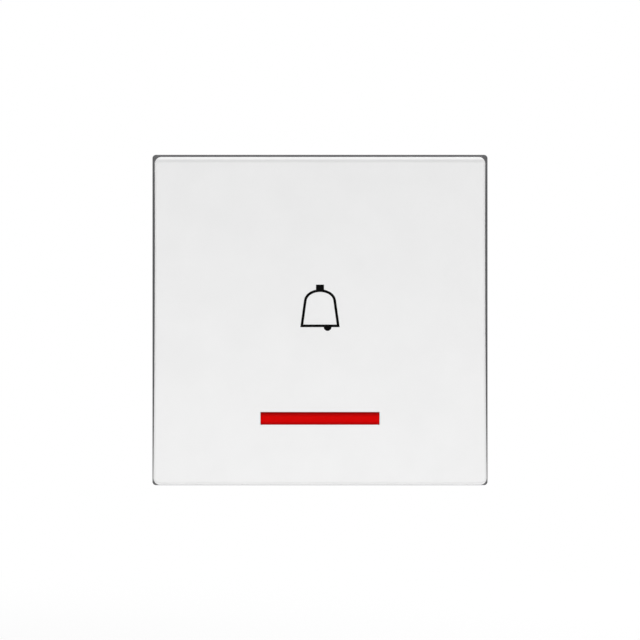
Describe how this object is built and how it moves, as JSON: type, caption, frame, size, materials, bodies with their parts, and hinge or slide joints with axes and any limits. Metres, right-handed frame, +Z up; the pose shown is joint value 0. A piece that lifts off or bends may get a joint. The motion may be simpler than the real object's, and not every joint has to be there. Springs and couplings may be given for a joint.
{
  "type": "doorbell push button",
  "caption": "Square doorbell push with a white hollow-faced rocker that tilts to press, a red lit window, a bell sign and a dark back plate for surface mounting.",
  "frame": {"origin": "middle of the back plate's rear face, on the wall", "axes": "+Y into the wall, so the face looks along -Y; +X to the right as seen from the front; +Z up"},
  "size_m": [0.0572, 0.018, 0.0564],
  "materials": {
    "white_plastic": "polished moulded cap",
    "dark_plastic": "fine spark texture",
    "red_lens": "clear tinted, polished",
    "black_sign": "moulded in, flush",
    "grey_plastic": "moulded",
    "natural_plastic": "moulded, uncoloured",
    "zinc_steel": "zinc plated",
    "spring_steel": "drawn wire",
    "brass": "stamped, dull",
    "silver": "rivet, satin",
    "board": "lacquered laminate",
    "lamp_body": "clear dome on a pale body",
    "component_black": "moulded",
    "black_rubber": "moulded, matt"
  },
  "bodies": {
    "housing": {"base": "dark_plastic", "cable_grommet": "black_rubber", "contact_block": "grey_plastic", "contact_block_cover": "grey_plastic", "block_screw_left": "zinc_steel", "block_screw_right": "zinc_steel", "contact_strip_left": "brass", "contact_strip_right": "brass", "fixed_contact_left": "silver", "fixed_contact_right": "silver", "terminal_screw_left": "zinc_steel", "terminal_screw_right": "zinc_steel", "wire_clamp_left": "zinc_steel", "wire_clamp_right": "zinc_steel", "lamp_board": "board", "led_left": "lamp_body", "led_right": "lamp_body", "resistor": "component_black", "rectifier_diode": "component_black", "return_spring_left": "spring_steel", "return_spring_right": "spring_steel", "plunger_spring": "spring_steel"},
    "rocker": {"rocker": "white_plastic", "lens": "red_lens", "bell_symbol": "black_sign"},
    "plunger": {"plunger": "natural_plastic", "contact_bridge": "brass", "bridge_contact_left": "silver", "bridge_contact_right": "silver"}
  },
  "joints": [
    {"name": "rocker_tilt", "type": "hinge", "parent": "housing", "child": "rocker", "pos_m": [0, -0.0065, -0.0006], "axis": [1, 0, 0], "range_deg": [0, 6.5], "stiffness_Nm_per_rad": 0.23, "springref_deg": -6.88, "deforming": ["return_spring_left", "return_spring_right"]},
    {"name": "plunger_travel", "type": "slide", "parent": "housing", "child": "plunger", "axis": [0, 1, 0], "range_m": [0, 0.00114], "deforming": ["plunger_spring"]}
  ],
  "couplings": [
    {"joint": "plunger_travel", "follows": "rocker_tilt", "m_per_rad": 0.010028}
  ]
}
